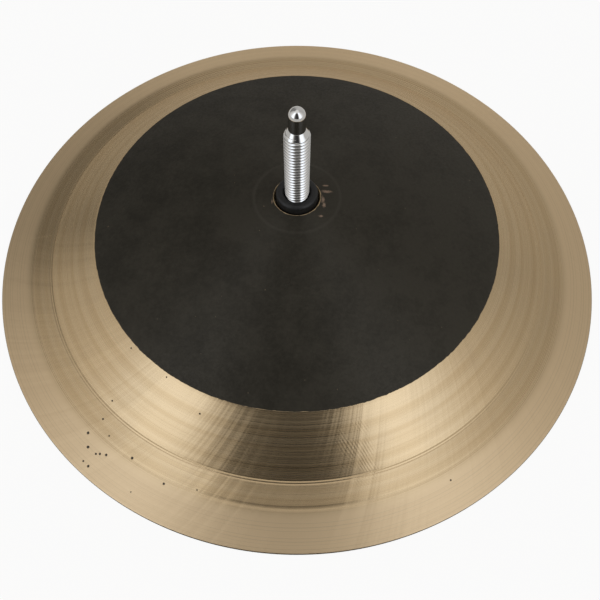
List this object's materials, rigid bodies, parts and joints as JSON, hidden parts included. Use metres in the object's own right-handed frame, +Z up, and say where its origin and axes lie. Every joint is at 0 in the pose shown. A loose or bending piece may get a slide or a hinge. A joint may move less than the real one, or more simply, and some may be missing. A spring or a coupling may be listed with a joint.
{
  "type": "bell cymbal",
  "caption": "Thick bronze bell cymbal with a raw dome and a lathed brim, sitting on a felt seat on a threaded post, free to spin, rock and lift off.",
  "frame": {"origin": "on the post's axis, in the plane that the bell's rim stands on", "axes": "+Z up along the post, towards its pin"},
  "size_m": [0.2032, 0.2032, 0.0664],
  "materials": {
    "bronze": "cast bronze: raw and dark on the dome, lathed bright on the slope and brim",
    "black_nylon": "moulded black nylon, satin",
    "felt": "pressed wool felt, grey",
    "plated_steel": "bright nickel plate",
    "spring_steel": "zinc plated spring steel",
    "chrome": "polished chrome plate"
  },
  "bodies": {
    "post": {"mounting_post": "chrome", "seat_nut": "plated_steel", "lock_washer": "spring_steel", "cup_washer": "plated_steel"},
    "sleeve": {"seat_sleeve": "black_nylon"},
    "felt": {"lower_felt": "felt"},
    "bell": {"bell_cymbal": "bronze"}
  },
  "joints": [
    {"name": "seat_lift", "type": "slide", "parent": "post", "child": "sleeve", "axis": [0, 0, 1], "range_m": [0, 0.05]},
    {"name": "bell_spin", "type": "hinge", "parent": "sleeve", "child": "felt", "pos_m": [0, 0, 0.0176], "axis": [0, 0, 1], "continuous": true},
    {"name": "bell_rock", "type": "hinge", "parent": "felt", "child": "bell", "pos_m": [0, 0, 0.02647], "axis": [1, 0, 0], "range_deg": [-4, 4], "stiffness_Nm_per_rad": 6, "deforming": ["lower_felt"]}
  ]
}
